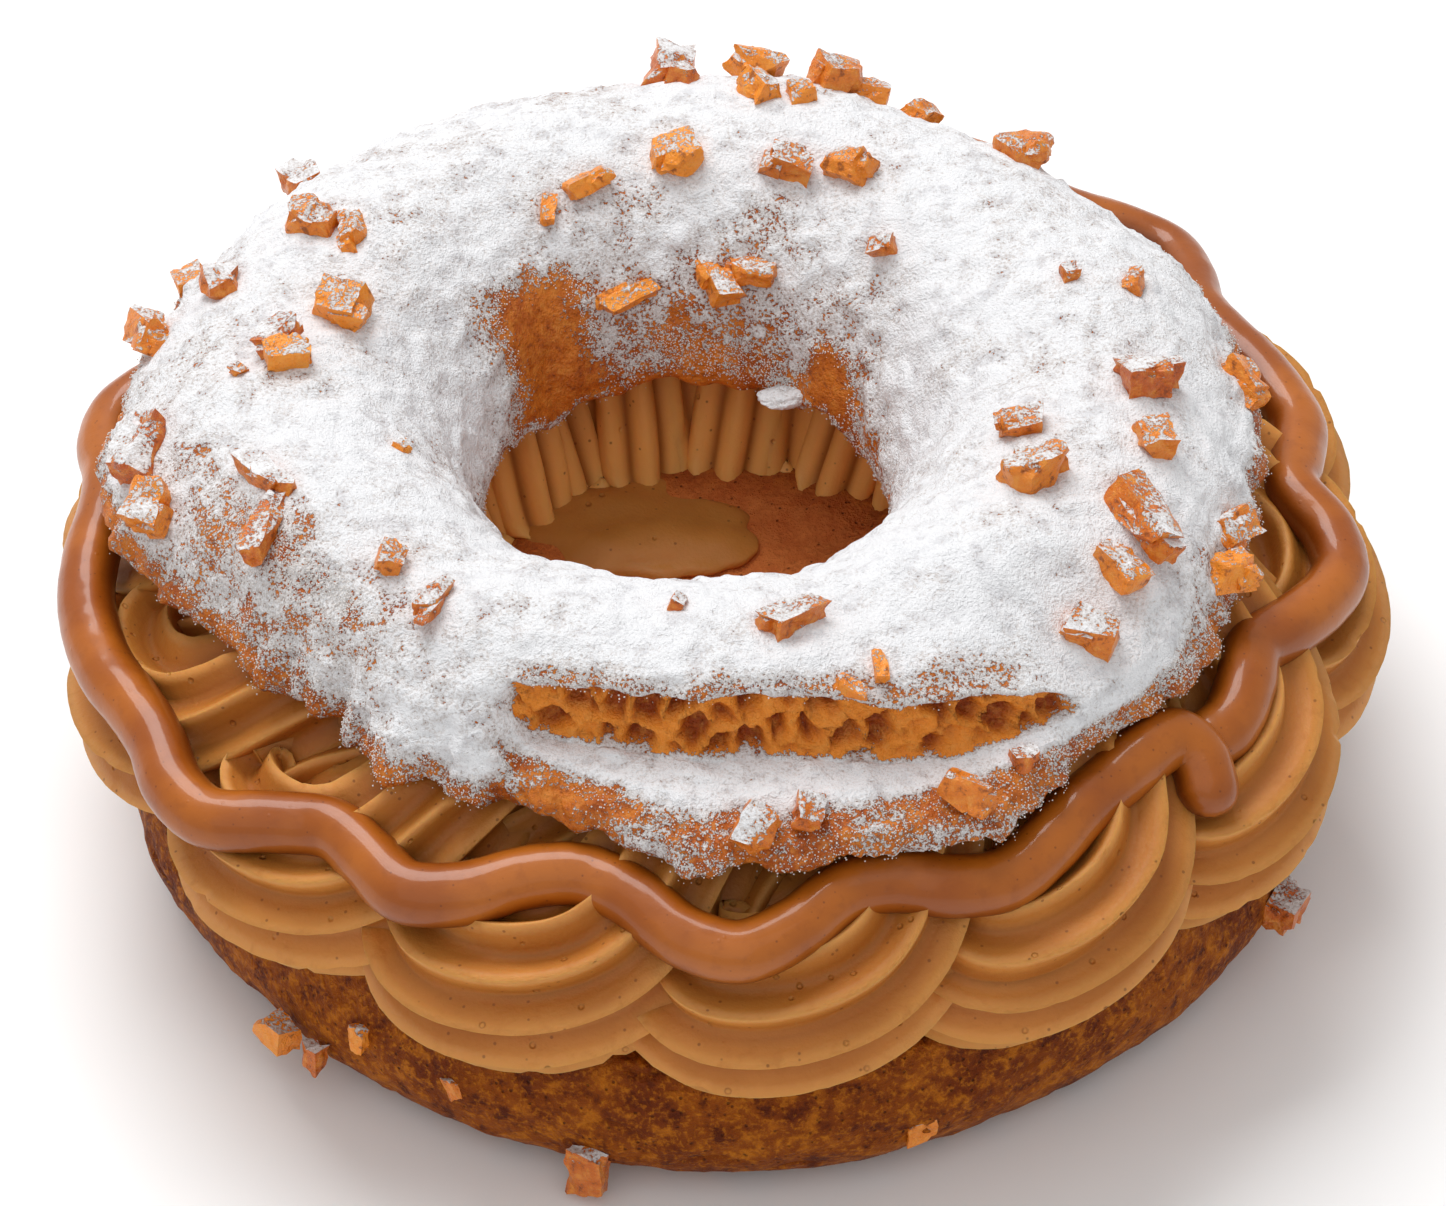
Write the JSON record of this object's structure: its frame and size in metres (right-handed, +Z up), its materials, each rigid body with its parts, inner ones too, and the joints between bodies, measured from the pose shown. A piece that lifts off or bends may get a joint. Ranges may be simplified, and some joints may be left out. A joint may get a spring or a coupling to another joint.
{
  "type": "paris brest pastry",
  "caption": "Ring-shaped choux pastry split through the middle, filled with a piped praline cream rope and a wavy caramel ribbon, under a sugared lid.",
  "frame": {"origin": "centre of the pastry's footprint, on the surface that it stands on", "axes": "+Z up through the hole, -Y towards the torn front of the lid, +X to the right when the front is faced"},
  "size_m": [0.1094, 0.1098, 0.0484],
  "materials": {
    "crust": "matte",
    "cream": "satin",
    "caramel": "gloss",
    "sugared_crust": "matte"
  },
  "bodies": {
    "root": {"base": "crust", "cream": "cream", "ribbon": "caramel", "lid": "sugared_crust"}
  },
  "joints": []
}
